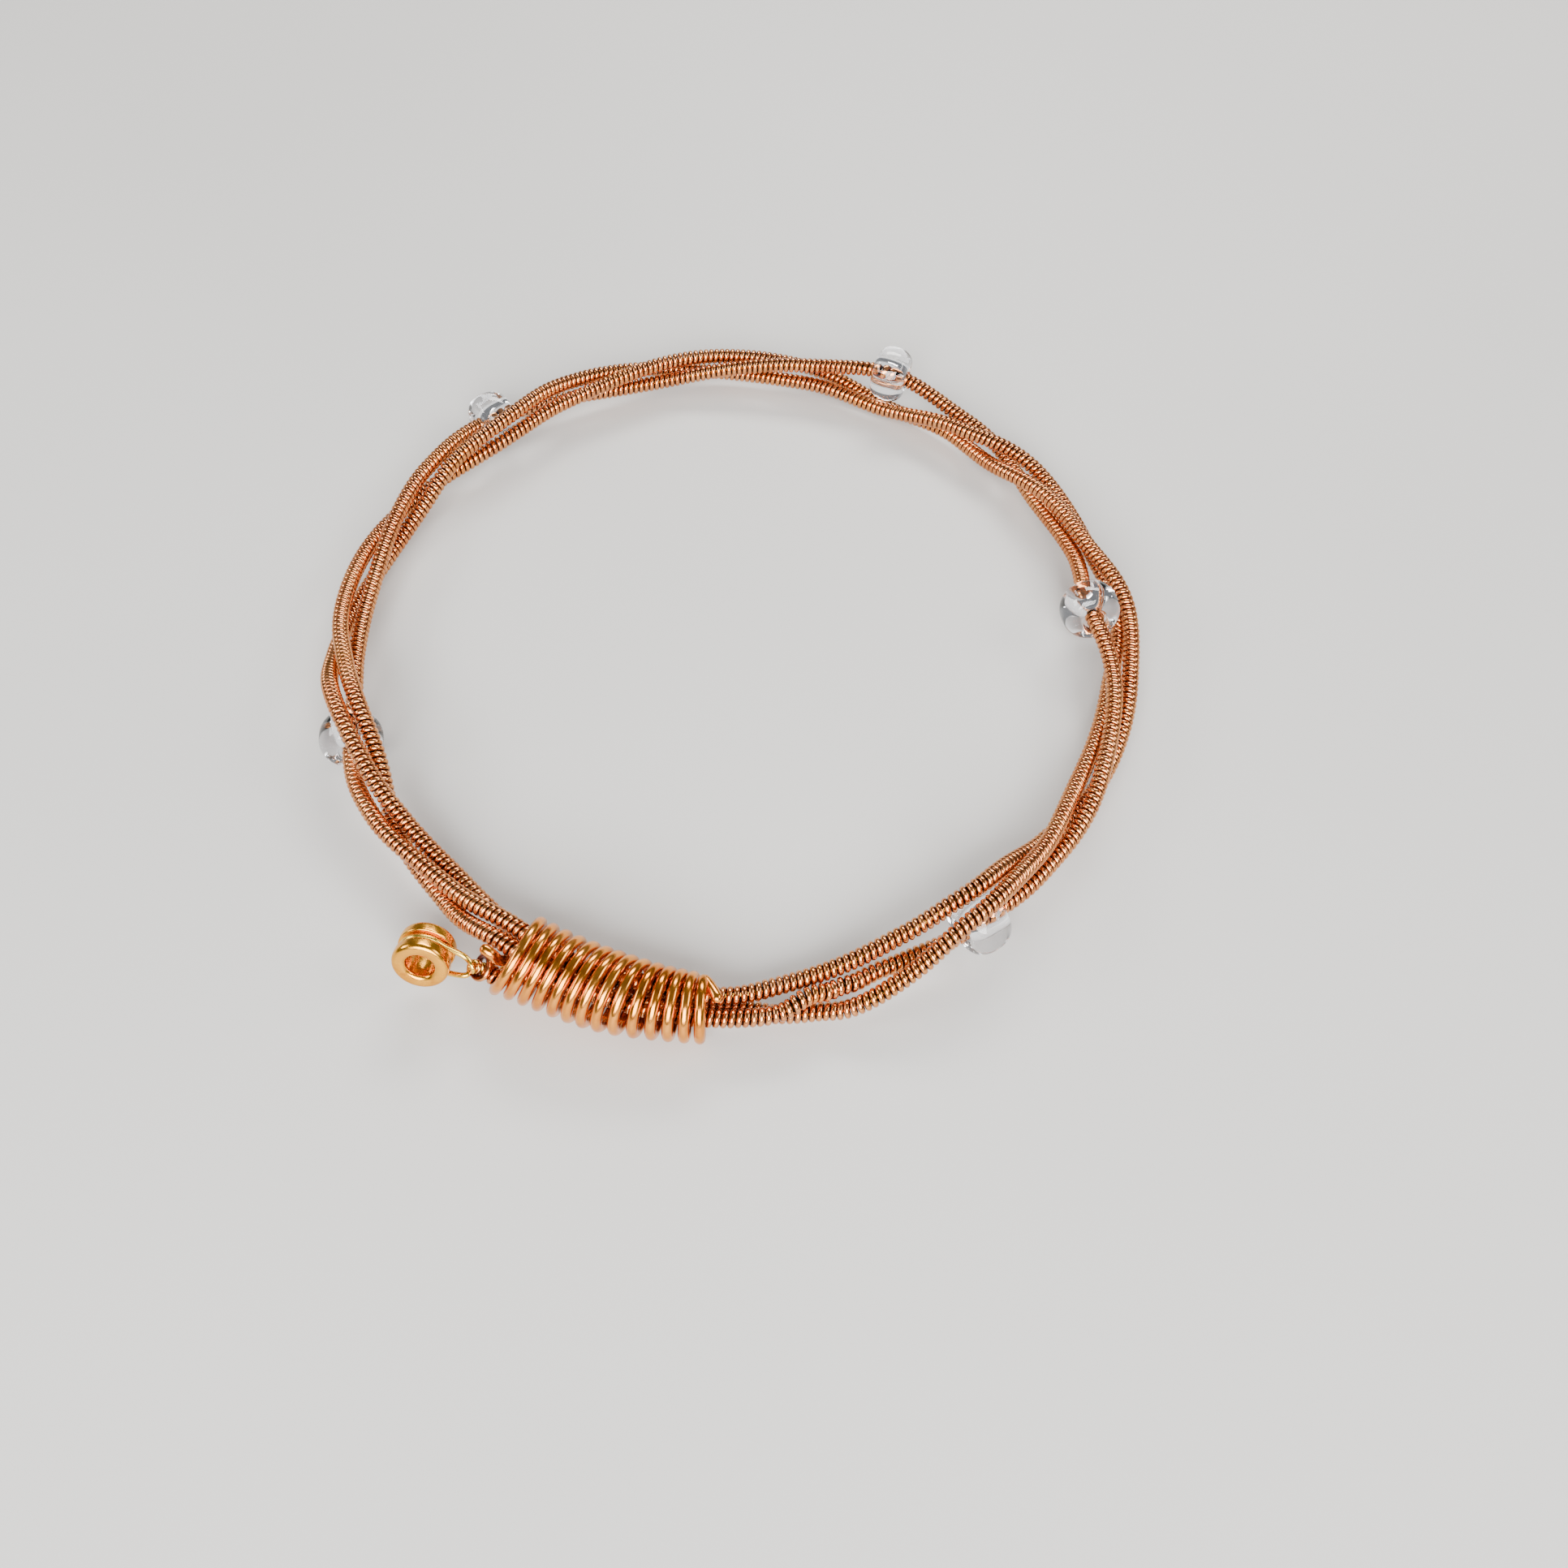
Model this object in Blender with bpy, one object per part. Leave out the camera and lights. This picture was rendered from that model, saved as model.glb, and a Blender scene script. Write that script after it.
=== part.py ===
"""Bangle bracelet made from one heavy wound instrument string.

Three turns of the string lie twisted together in a ring, five glass rondelle
beads are threaded on the third turn, and a plain wire binding holds the turns
where the string starts and ends.  The brass ball end stays in its loop.

Z is up and the ring lies flat.  Ring angles are in degrees: 0 at the front
(-Y), 90 at the right (+X).  Inside the bundle a polar angle of 0 points away
from the ring's centre and 90 points up.  Lengths are in millimetres until an
object is placed.
"""

import bmesh
import bpy
import numpy as np
from mathutils import Vector

MM = 0.001

# Where the ring's centre stands in the frame of the whole object.
SHIFT = np.array((0.267, 0.939, 0.006))

# The string: outside diameter of the winding, its bore and the core inside it.
STRING_DIAMETER = 1.42
WINDING_BORE = 0.52
CORE_DIAMETER = 0.44
STRING_SIDES = 10
CORE_SIDES = 6
STATIONS_PER_TURN = 80
SHARP_ANGLE = np.radians(50)
END_GAP = 0.25

# Ring axis of the bundle: ring angle, radius, height.
AXIS = (
    (-32, 33.3, 3.2), (-27, 33.8, 3.17), (-22, 34.1, 3.1), (-14, 34.3, 2.85),
    (-6, 34.45, 2.53), (0, 34.35, 2.47), (8, 33.9, 2.45), (19, 33.3, 3.3),
    (31, 32.9, 4.4),
    (45, 32.2, 3.0), (60, 31.95, 2.5), (75, 31.8, 2.8), (89, 31.4, 3.25),
    (102, 31.4, 2.9), (117, 31.75, 2.4), (135, 32.0, 2.3), (152, 32.6, 2.32),
    (166, 33.2, 2.25), (180, 33.6, 2.2), (197, 33.6, 2.4), (213, 33.2, 3.07),
    (228, 33.1, 3.17), (243, 33.0, 2.5), (256, 32.8, 2.5), (269, 32.7, 3.0),
    (281, 32.2, 4.2), (293, 32.3, 4.1), (306, 32.5, 3.1), (318, 32.6, 2.95),
)

# How the three turns twist about the ring axis: ring angle, polar angle of
# the third turn, distance of every turn from the axis.
LAY = (
    (31, -85, 0.97), (45, -25, 0.93), (60, 63, 0.99), (75, 114, 1.03),
    (89, 161, 0.93), (102, 203, 0.88), (117, 244, 1.1), (135, 366, 1.1),
    (152, 420, 0.95), (166, 464, 1.05), (180, 520, 0.96), (197, 608, 0.98),
    (213, 681, 0.96), (228, 723, 0.98), (243, 810, 1.0), (256, 871, 1.08),
    (269, 918, 1.05), (281, 981, 0.96), (293, 1028, 0.93), (306, 1116, 0.97),
)
TURN_LAG = (120, -120, 0)
TURN_WIND = (0, 1440, 2520)

# How each turn leaves the binding before it joins the common twist.
ENTRY = (
    ((-31.75, -18.5, 2.84), (-30.2, -20.5, 2.76), (-29, -25, 2.12), (-26, -36, 1.46),
     (-22, -52, 1.1), (-14, -80, 1.0),
     (-6, -112, 0.86), (-2, -110, 0.95), (3, -75, 1.35), (8, -50, 1.5),
     (10.5, -36, 1.74), (13, -19, 1.74), (19, 5, 1.47), (25, 28, 1.2)),
    ((-32, -142, 1.03), (-22, -142, 1.03), (-14, -185, 1.0), (-6, -230, 0.88),
     (-2, -232, 0.92), (3, -211, 1.17), (8, -203, 1.3), (13, -206, 1.37),
     (19, -200, 1.4), (25, -197, 1.15)),
    ((-32, 42, 1.05), (-22, 42, 1.05), (-14, 22, 1.0), (-6, 8, 0.88),
     (-2, 6, 0.9), (3, 8, 0.86), (8, 60, 0.3), (10.5, -20, 0.05),
     (13, -85, 0.3), (19, -95, 0.75), (25, -85, 0.95)),
)

# How the turns lie side by side before they reach the binding again.
EXIT_ANGLE = 318
EXIT_POLAR = 1162
EXIT_REACH = (1.15, 1.12, 0.5)
TAIL = ((-32, 130, 1.05), (-22, 130, 1.05), (-12, 130, 1.05))
TAIL_WIND = 3600
TAIL_END = -23

# Every bead pushes the turns apart by this much, over this reach each way.
OPENING = 1.8
OPENING_REACH = 15.0

# Rondelle beads, threaded on the third turn.
BEAD_ANGLES = (30.5, 89.3, 152.0, 219.5, 287.0)
BEAD_DIAMETER = 5.0
BEAD_LENGTH = 3.3
BEAD_BORE = 1.95
BEAD_LIP = 0.35
BEAD_SIDES = 20
BEAD_FULLNESS = 2.3

# Ball end: a brass spool whose axis points at the wearer's side.
BALL_CENTRE = (-23.3, -29.8, 3.9)
BALL_YAW = 8.0
BALL_PITCH = 20.0
BALL_DIAMETER = 4.15
BALL_LENGTH = 2.7
BALL_BORE = 2.0
BALL_MOUTH = 0.42
BALL_EDGE = 0.42
GROOVE_DIAMETER = 3.0
GROOVE_WIDTH = 0.8
GROOVE_EDGE = 0.14
BALL_SIDES = 24

# The bare core wire: round the ball end's groove, two legs, coils over the lead.
LOOP_WIRE = 0.42
LOOP_SIDES = 6
LOOP_CLEARANCE = 0.02
LEAD_START = (-20.15, -30.6, 3.25)
LEAD_WAY = (1.0, 0.1, -0.25)
LEAD_STATIONS = 60
TWIST_RADIUS = 0.24
LEG_SPREAD = 0.2
TWIST_TURNS = 2.0
LOOP_STOP = 4
LEAD_DIAMETER = 2.2
LEAD_BORE = 1.1
LEAD_BARE = 0.35

# Binding wire: helix of loops round the ring (ring angle, radius, height,
# reach), where every loop stands (loop count, ring angle), and how far its
# plane leans over and swings aside (ring angle, two angles).
BINDING_DIAMETER = 0.82
BINDING_SIDES = 8
BINDING_STATIONS = 16
BINDING_FIRST = -0.02
BINDING_LAST = 13.36
BINDING_RING = (
    (-30, 34.24, 3.29, 2.85), (-24, 34.29, 3.16, 2.67), (-17, 34.49, 3.0, 2.57),
    (-10, 34.55, 2.79, 2.26), (-4, 34.62, 2.55, 2.08),
)
BINDING_LAY = (
    (-0.3, -30.12), (3.2, -23.63), (4.2, -21.67), (8.2, -14.52), (9.2, -12.6),
    (12.2, -7.54), (13.7, -5.2),
)
BINDING_LEAN = ((-30, 21.2, 4.2), (-17, -0.1, -9.6), (-4, -2.6, 6.7))

# The wire's start: a stub lying on the lead, then down between the turns and
# round under the lead (ring angle, radius, height).  Its end turns aside.
STUB = (
    (-32.6, 35.5, 4.85), (-31.7, 35.5, 4.85), (-31.05, 35.5, 4.6), (-30.6, 35.4, 3.85),
    (-30.4, 34.95, 3.1), (-30.5, 34.57, 2.35), (-30.8, 34.72, 1.6), (-31.0, 35.35, 1.15),
    (-30.9, 36.1, 1.12), (-30.4, 36.75, 1.6),
)
STUB_STATIONS = 3
TIP_STATIONS = 8
TIP = (-4.0, 34.95, 4.45)
TIP_WAY = (0.2, -0.9, -0.35)

def hermite(x, rows, column):
    """Smooth curve through one column of rows that are ordered by angle."""
    table = np.array(rows, float)
    knots = table[:, 0]
    values = table[:, column]
    slopes = np.gradient(values, knots)
    i = np.clip(np.searchsorted(knots, x) - 1, 0, len(knots) - 2)
    span = knots[i + 1] - knots[i]
    t = (x - knots[i]) / span
    first = (1 + 2 * t) * (1 - t) ** 2 * values[i]
    second = t * t * (3 - 2 * t) * values[i + 1]
    bend = t * (1 - t) ** 2 * slopes[i] - t * t * (1 - t) * slopes[i + 1]
    return first + second + span * bend


def unit(vector):
    return vector / np.linalg.norm(vector, axis=-1, keepdims=True)


def outward(angle):
    """Unit vectors from the ring's centre towards ring angles."""
    turn = np.radians(angle)
    return np.stack([np.sin(turn), -np.cos(turn), 0 * turn], axis=-1)


def axis_rows():
    before = [(row[0] - 360,) + row[1:] for row in AXIS[-3:]]
    after = [(row[0] + 360,) + row[1:] for row in AXIS[:3]]
    return before + list(AXIS) + after


def string_rows():
    """Polar path of the whole string over its unrolled ring angle."""
    rows = []
    for turn, entry in enumerate(ENTRY):
        start = 360 * turn
        wind = TURN_WIND[turn]
        for angle, polar, reach in entry:
            rows.append((angle + start, polar + wind, reach))
        for angle, polar, reach in LAY + ((EXIT_ANGLE, EXIT_POLAR, EXIT_REACH[turn]),):
            rows.append((angle + start, polar + TURN_LAG[turn] + wind, reach))
    for angle, polar, reach in TAIL:
        rows.append((angle + 360 * len(ENTRY), polar + TAIL_WIND, reach))
    return rows


AXIS_ROWS = axis_rows()
STRING_ROWS = string_rows()


def around(angle, radius, height, polar, reach):
    """Points at a polar angle and reach about a ring of a radius and height."""
    flat = radius + reach * np.cos(polar)
    rise = height + reach * np.sin(polar)
    points = outward(angle) * flat[:, None]
    points[:, 2] = rise
    return points


def string_points(unrolled):
    """Centre of the string at unrolled ring angles."""
    angle = (unrolled + 32) % 360 - 32
    polar = np.radians(hermite(unrolled, STRING_ROWS, 1))
    reach = hermite(unrolled, STRING_ROWS, 2)
    radius = hermite(angle, AXIS_ROWS, 1)
    height = hermite(angle, AXIS_ROWS, 2)
    flat = radius + reach * np.cos(polar)
    rise = height + reach * np.sin(polar)
    part = np.zeros(len(angle))
    for bead in BEAD_ANGLES:
        near = np.clip(np.abs(angle - bead) / OPENING_REACH, 0, 1)
        part += OPENING / 2 * np.cos(np.pi / 2 * near) ** 2
    threaded = unrolled > 720 - 32
    push = np.radians(hermite(angle + 720, STRING_ROWS, 1))
    side = np.where(threaded, 1.0, -1.0) * part
    points = outward(angle) * (flat + side * np.cos(push))[:, None]
    points[:, 2] = rise + side * np.sin(push)
    return points


def smooth_path(start, start_way, end, end_way, stations):
    """Curve between two points that leaves and arrives along given ways."""
    t = np.linspace(0, 1, stations)[:, None]
    pull = np.linalg.norm(np.subtract(end, start))
    first = (1 + 2 * t) * (1 - t) ** 2 * np.array(start)
    second = t * t * (3 - 2 * t) * np.array(end)
    bend = t * (1 - t) ** 2 * np.array(start_way) - t * t * (1 - t) * np.array(end_way)
    return first + second + pull * bend


def carried_sides(path):
    """Tangents and side vectors carried along a path without twisting."""
    tangents = unit(np.gradient(path, axis=0, edge_order=2))
    side = np.cross(tangents[0], (0.31, 0.17, 0.93))
    sides = []
    for tangent in tangents:
        side = unit(side - tangent * (side @ tangent))
        sides.append(side)
    return tangents, np.array(sides)


def link(name, data):
    body = bpy.data.objects.new(name, data)
    bpy.context.scene.collection.objects.link(body)
    return body


def wire(name, path, diameter, sides, material, capped=True):
    """Round wire: a curve through the path's points with a bevel and filled caps."""
    curve = bpy.data.curves.new(name, "CURVE")
    curve.dimensions = "3D"
    curve.bevel_depth = diameter / 2 * MM
    curve.bevel_resolution = sides // 2 - 2
    curve.use_fill_caps = capped
    spline = curve.splines.new("POLY")
    spline.points.add(len(path) - 1)
    for point, place in zip(spline.points, (path + SHIFT) * MM):
        point.co = (*place, 1.0)
    spline.use_smooth = True
    curve.materials.append(material)
    return link(name, curve)


def sleeve(name, path, diameter, bore, sides, material):
    """Hollow wire: an open bevelled curve, thickened inwards to its bore."""
    body = wire(name, path, diameter, sides, material, capped=False)
    wall = body.modifiers.new("wall", "SOLIDIFY")
    wall.thickness = (diameter - bore) / 2 * MM
    wall.offset = -1.0
    return body


def turned(name, profile, steps, material):
    """Mesh of a closed profile of (height, radius) spun about the Z axis."""
    shape = bmesh.new()
    corners = [shape.verts.new((radius * MM, 0.0, height * MM)) for height, radius in profile]
    edges = [shape.edges.new(pair) for pair in zip(corners, corners[1:] + corners[:1])]
    bmesh.ops.spin(shape, geom=corners + edges, cent=(0, 0, 0), axis=(0, 0, 1),
                   angle=2 * np.pi, steps=steps, use_merge=True)
    bmesh.ops.recalc_face_normals(shape, faces=shape.faces)
    mesh = bpy.data.meshes.new(name)
    shape.to_mesh(mesh)
    shape.free()
    mesh.shade_smooth()
    mesh.set_sharp_from_angle(angle=SHARP_ANGLE)
    mesh.materials.append(material)
    return mesh


def place_turned(name, mesh, centre, way):
    """Stand a turned mesh at a centre with its axis along way."""
    body = link(name, mesh)
    body.location = (np.array(centre) + SHIFT) * MM
    body.rotation_euler = Vector(way).to_track_quat("Z", "Y").to_euler()
    return body


def rounded(corners, steps=3):
    """Profile whose corners (height, radius, rounding) are eased by short curves."""
    points = [np.array(corner[:2], float) for corner in corners]
    eased = []
    for i, (corner, (_, _, ease)) in enumerate(zip(points, corners)):
        before = corner + ease * unit(points[i - 1] - corner)
        after = corner + ease * unit(points[(i + 1) % len(points)] - corner)
        for t in np.linspace(0, 1, steps if ease else 1):
            eased.append(before * (1 - t) ** 2 + 2 * t * (1 - t) * corner + after * t ** 2)
    return eased


def new_material(name, colour, metallic, roughness):
    material = bpy.data.materials.new(name)
    material.use_nodes = True
    shader = material.node_tree.nodes["Principled BSDF"]
    shader.inputs["Base Color"].default_value = (*colour, 1.0)
    shader.inputs["Metallic"].default_value = metallic
    shader.inputs["Roughness"].default_value = roughness
    material.diffuse_color = (*colour, 1.0)
    return material


def string_turn_paths():
    """Stations of each turn, with a hair's gap where one turn meets the next."""
    starts = [ENTRY[0][0][0], 360 - 32, 720 - 32]
    ends = [360 - 32, 720 - 32, 1080 + TAIL_END]
    paths = []
    for start, end in zip(starts, ends):
        stations = int(round((end - start) / 360 * STATIONS_PER_TURN)) + 1
        unrolled = np.linspace(start + END_GAP / 2, end - END_GAP / 2, stations)
        paths.append(string_points(unrolled))
    return paths


def build_string(materials):
    paths = string_turn_paths()
    for turn, path in enumerate(paths):
        sleeve(f"winding_turn_{turn + 1}", path, STRING_DIAMETER, WINDING_BORE,
               STRING_SIDES, materials["winding"])
    wire("core_wire", np.concatenate(paths), CORE_DIAMETER, CORE_SIDES, materials["core"])
    return paths[0]


def ball_way():
    yaw = np.radians(BALL_YAW)
    pitch = np.radians(BALL_PITCH)
    flat = np.cos(pitch)
    return np.array((-flat * np.sin(yaw), -flat * np.cos(yaw), np.sin(pitch)))


def lead_path(first_turn):
    """Centre line from the legs' meeting point to the first turn's start."""
    heading = unit(first_turn[1] - first_turn[0])
    end = first_turn[0] - heading * END_GAP / 2
    return smooth_path(np.array(LEAD_START), unit(np.array(LEAD_WAY)), end, heading,
                       LEAD_STATIONS)


def build_lead(path, materials):
    """The winding's first loose, thicker coils over the twisted core wire."""
    step = np.linalg.norm(np.diff(path, axis=0), axis=1)
    run = np.concatenate([[0], np.cumsum(step)]) / step.sum()
    covered = path[run > LEAD_BARE][::-1][::4][::-1]
    sleeve("winding_lead", covered, LEAD_DIAMETER, LEAD_BORE, STRING_SIDES,
           materials["winding"])


def loop_path(path):
    """Core wire: out through the lead, round the ball end's groove and back."""
    tangents, sides = carried_sides(path)
    third = np.cross(tangents, sides)
    way = ball_way()
    across = unit(np.cross((0.0, 0.0, 1.0), way))
    rise = np.cross(way, across)
    start = np.arctan2(rise @ third[0], rise @ sides[0])
    turn = np.linspace(start, start + 2 * np.pi * TWIST_TURNS, len(path))
    spin = np.cos(turn)[:, None] * sides + np.sin(turn)[:, None] * third
    inside = slice(0, len(path) - LOOP_STOP)
    apart = TWIST_RADIUS + LEG_SPREAD * np.linspace(1, 0, len(path)) ** 4
    upper = (path + apart[:, None] * spin)[inside]
    lower = (path - apart[:, None] * spin)[inside]
    reach = GROOVE_DIAMETER / 2 + LOOP_WIRE / 2 + LOOP_CLEARANCE
    centre = np.array(BALL_CENTRE)
    crotch = path[0] - centre
    flat = np.array((crotch @ across, crotch @ rise))
    lean = np.arctan2(flat[1], flat[0])
    open_half = np.arccos(reach / np.hypot(*flat))
    angles = np.linspace(lean + open_half, lean + 2 * np.pi - open_half, 30)
    circle = np.cos(angles)[:, None] * across + np.sin(angles)[:, None] * rise
    circle = centre + reach * circle
    upper_leg = smooth_path(circle[0], unit(circle[0] - circle[1]), upper[0],
                            unit(upper[1] - upper[0]), 8)
    lower_leg = smooth_path(circle[-1], unit(circle[-1] - circle[-2]), lower[0],
                            unit(lower[1] - lower[0]), 8)
    return np.concatenate([upper[::-1], upper_leg[-2:0:-1], circle, lower_leg[1:-1], lower])


def build_ball_end(materials):
    half = BALL_LENGTH / 2
    rim = BALL_DIAMETER / 2
    hole = BALL_BORE / 2
    neck = GROOVE_DIAMETER / 2
    slot = GROOVE_WIDTH / 2
    profile = rounded([
        (half, hole, BALL_MOUTH), (half, rim, BALL_EDGE), (slot, rim, GROOVE_EDGE),
        (slot, neck, 0), (-slot, neck, 0), (-slot, rim, GROOVE_EDGE),
        (-half, rim, BALL_EDGE), (-half, hole, BALL_MOUTH),
    ])
    mesh = turned("ball_end", profile, BALL_SIDES, materials["brass"])
    place_turned("ball_end", mesh, BALL_CENTRE, ball_way())


def build_beads(materials):
    half = BEAD_LENGTH / 2
    hole = BEAD_BORE / 2
    crown = hole + BEAD_LIP
    profile = [(-half, hole)]
    for place in np.sin(np.linspace(-1, 1, 9) * np.pi / 2):
        share = (1 - abs(place) ** BEAD_FULLNESS) ** (1 / BEAD_FULLNESS)
        profile.append((place * half, crown + (BEAD_DIAMETER / 2 - crown) * share))
    profile.append((half, hole))
    mesh = turned("bead", profile, BEAD_SIDES, materials["glass"])
    for number, angle in enumerate(BEAD_ANGLES):
        before, centre, after = string_points(np.array((angle - 1.0, angle, angle + 1.0)) + 720)
        place_turned(f"bead_{number + 1}", mesh, centre, after - before)


def eased_points(corners, stations):
    """Smooth path through corner points, with stations between each pair."""
    table = [(i, *corner) for i, corner in enumerate(corners)]
    place = np.linspace(0, len(corners) - 1, (len(corners) - 1) * stations + 1)
    return np.stack([hermite(place, table, column) for column in (1, 2, 3)], axis=1)


def on_ring(places):
    """Points from rows of (ring angle, radius, height)."""
    points = outward(places[:, 0]) * places[:, 1:2]
    points[:, 2] = places[:, 2]
    return points


def binding_path():
    stations = int((BINDING_LAST - BINDING_FIRST) * BINDING_STATIONS) + 1
    count = np.linspace(BINDING_FIRST, BINDING_LAST, stations)
    angle = hermite(count, BINDING_LAY, 1)
    polar = 2 * np.pi * count
    radius = hermite(angle, BINDING_RING, 1)
    height = hermite(angle, BINDING_RING, 2)
    reach = hermite(angle, BINDING_RING, 3)
    over = np.tan(np.radians(hermite(angle, BINDING_LEAN, 1)))
    aside = np.tan(np.radians(hermite(angle, BINDING_LEAN, 2)))
    lean = np.degrees(reach * (over * np.sin(polar) + aside * np.cos(polar)) / radius)
    helix = around(angle + lean, radius, height, polar, reach)
    first = np.degrees(np.arctan2(helix[0, 0], -helix[0, 1]))
    joined = STUB + ((first, np.hypot(*helix[0, :2]), helix[0, 2]),)
    start = on_ring(eased_points(joined, STUB_STATIONS))[:-1]
    tip = on_ring(np.array([TIP]))[0]
    end = smooth_path(helix[-1], unit(helix[-1] - helix[-2]), tip, unit(np.array(TIP_WAY)),
                      TIP_STATIONS)[1:]
    return np.concatenate([start, helix, end])


def main():
    for item in list(bpy.data.objects):
        bpy.data.objects.remove(item, do_unlink=True)
    materials = {
        "winding": new_material("winding_bronze", (0.72, 0.36, 0.18), 1.0, 0.32),
        "core": new_material("core_steel", (0.78, 0.6, 0.26), 1.0, 0.3),
        "binding": new_material("binding_bronze", (0.78, 0.45, 0.2), 1.0, 0.28),
        "brass": new_material("ball_brass", (0.83, 0.6, 0.24), 1.0, 0.25),
        "glass": new_material("bead_glass", (0.86, 0.89, 0.94), 0.0, 0.05),
    }
    first_turn = build_string(materials)
    lead = lead_path(first_turn)
    build_lead(lead, materials)
    wire("ball_loop", loop_path(lead), LOOP_WIRE, LOOP_SIDES, materials["core"])
    build_ball_end(materials)
    build_beads(materials)
    wire("binding_wire", binding_path(), BINDING_DIAMETER, BINDING_SIDES, materials["binding"])


main()
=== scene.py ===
"""Bangle of wound instrument string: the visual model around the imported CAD.

The CAD nodes give the places, the joints and the collision shapes.  This
script coils the real winding round every turn, and adds the binding wire, the
bare loop with its twist, the turned ball end and the pressed glass beads.

Ring angles are in degrees: 0 at the front (-Y), 90 at the right (+X).  Inside
the bundle a polar angle of 0 points away from the ring's centre and 90 points
up.  Unrolled ring angles go on past 360 and say which of the three turns is
meant.  Lengths are in millimetres until the vertices are written.  The studio
is in metres, and noise scales are per metre.
"""

import bpy
import numpy as np
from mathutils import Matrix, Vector


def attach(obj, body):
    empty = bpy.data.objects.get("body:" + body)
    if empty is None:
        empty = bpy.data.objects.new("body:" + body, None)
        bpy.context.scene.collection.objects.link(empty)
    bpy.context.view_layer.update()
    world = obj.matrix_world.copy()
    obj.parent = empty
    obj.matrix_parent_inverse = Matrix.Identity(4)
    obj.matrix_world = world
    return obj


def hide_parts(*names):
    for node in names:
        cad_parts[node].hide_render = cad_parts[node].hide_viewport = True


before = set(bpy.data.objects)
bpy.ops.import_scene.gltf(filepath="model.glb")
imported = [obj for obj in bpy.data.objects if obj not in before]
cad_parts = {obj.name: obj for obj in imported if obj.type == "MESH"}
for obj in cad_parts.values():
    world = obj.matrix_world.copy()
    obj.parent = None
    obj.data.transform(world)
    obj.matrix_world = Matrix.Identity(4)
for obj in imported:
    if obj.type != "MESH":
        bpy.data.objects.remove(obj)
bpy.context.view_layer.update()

MM = 0.001
ROOT = "bangle"

# Where the ring's centre stands in the frame of the whole object.
SHIFT = np.array((0.267, 0.939, 0.006))

# Every turn starts at this ring angle.  The beads are on the third turn.
TURN_START = -32
THREADED_TURN = 720

# Ring axis of the bundle: ring angle, radius, height.
AXIS = (
    (-32, 33.3, 3.2), (-27, 33.8, 3.17), (-22, 34.1, 3.1), (-14, 34.3, 2.85),
    (-6, 34.45, 2.53), (0, 34.35, 2.47), (8, 33.9, 2.45), (19, 33.3, 3.3),
    (31, 32.9, 4.4),
    (45, 32.2, 3.0), (60, 31.95, 2.5), (75, 31.8, 2.8), (89, 31.4, 3.25),
    (102, 31.4, 2.9), (117, 31.75, 2.4), (135, 32.0, 2.3), (152, 32.6, 2.32),
    (166, 33.2, 2.25), (180, 33.6, 2.2), (197, 33.6, 2.4), (213, 33.2, 3.07),
    (228, 33.1, 3.17), (243, 33.0, 2.5), (256, 32.8, 2.5), (269, 32.7, 3.0),
    (281, 32.2, 4.2), (293, 32.3, 4.1), (306, 32.5, 3.1), (318, 32.6, 2.95),
)

# How the three turns twist about the ring axis: ring angle, polar angle of
# the third turn, distance of every turn from the axis.
LAY = (
    (31, -85, 0.97), (45, -25, 0.93), (60, 63, 0.99), (75, 114, 1.03),
    (89, 161, 0.93), (102, 203, 0.88), (117, 244, 1.1), (135, 366, 1.1),
    (152, 420, 0.95), (166, 464, 1.05), (180, 520, 0.96), (197, 608, 0.98),
    (213, 681, 0.96), (228, 723, 0.98), (243, 810, 1.0), (256, 871, 1.08),
    (269, 918, 1.05), (281, 981, 0.96), (293, 1028, 0.93), (306, 1116, 0.97),
)

# Polar angle of every turn ahead of the third, and the whole windings that
# keep the polar angle continuous from turn to turn.
TURN_LAG = (120, -120, 0)
TURN_WIND = (0, 1440, 2520)

# How each turn leaves the binding before it joins the common twist: ring
# angle, polar angle, reach.
ENTRY = (
    ((-31.75, -18.5, 2.84), (-30.2, -20.5, 2.76), (-29, -25, 2.12), (-26, -36, 1.46),
     (-22, -52, 1.1), (-14, -80, 1.0),
     (-6, -112, 0.86), (-2, -110, 0.95), (3, -75, 1.35), (8, -50, 1.5),
     (10.5, -36, 1.74), (13, -19, 1.74), (19, 5, 1.47), (25, 28, 1.2)),
    ((-32, -142, 1.03), (-22, -142, 1.03), (-14, -185, 1.0), (-6, -230, 0.88),
     (-2, -232, 0.92), (3, -211, 1.17), (8, -203, 1.3), (13, -206, 1.37),
     (19, -200, 1.4), (25, -197, 1.15)),
    ((-32, 42, 1.05), (-22, 42, 1.05), (-14, 22, 1.0), (-6, 8, 0.88),
     (-2, 6, 0.9), (3, 8, 0.86), (8, 60, 0.3), (10.5, -20, 0.05),
     (13, -85, 0.3), (19, -95, 0.75), (25, -85, 0.95)),
)

# How the turns lie side by side before they reach the binding again.
EXIT_ANGLE = 318
EXIT_POLAR = 1162
EXIT_REACH = (1.15, 1.12, 0.5)

# The string's hidden end inside the binding: ring angle, polar angle, reach.
TAIL = ((-32, 130, 1.05), (-22, 130, 1.05), (-12, 130, 1.05))
TAIL_WIND = 3600

# Gap between the lead's winding and the first turn's.
END_GAP = 0.25

# Every bead pushes the turns apart by this much, over this reach each way.
OPENING = 1.8
OPENING_REACH = 15.0

BEAD_ANGLES = (30.5, 89.3, 152.0, 219.5, 287.0)

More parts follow.
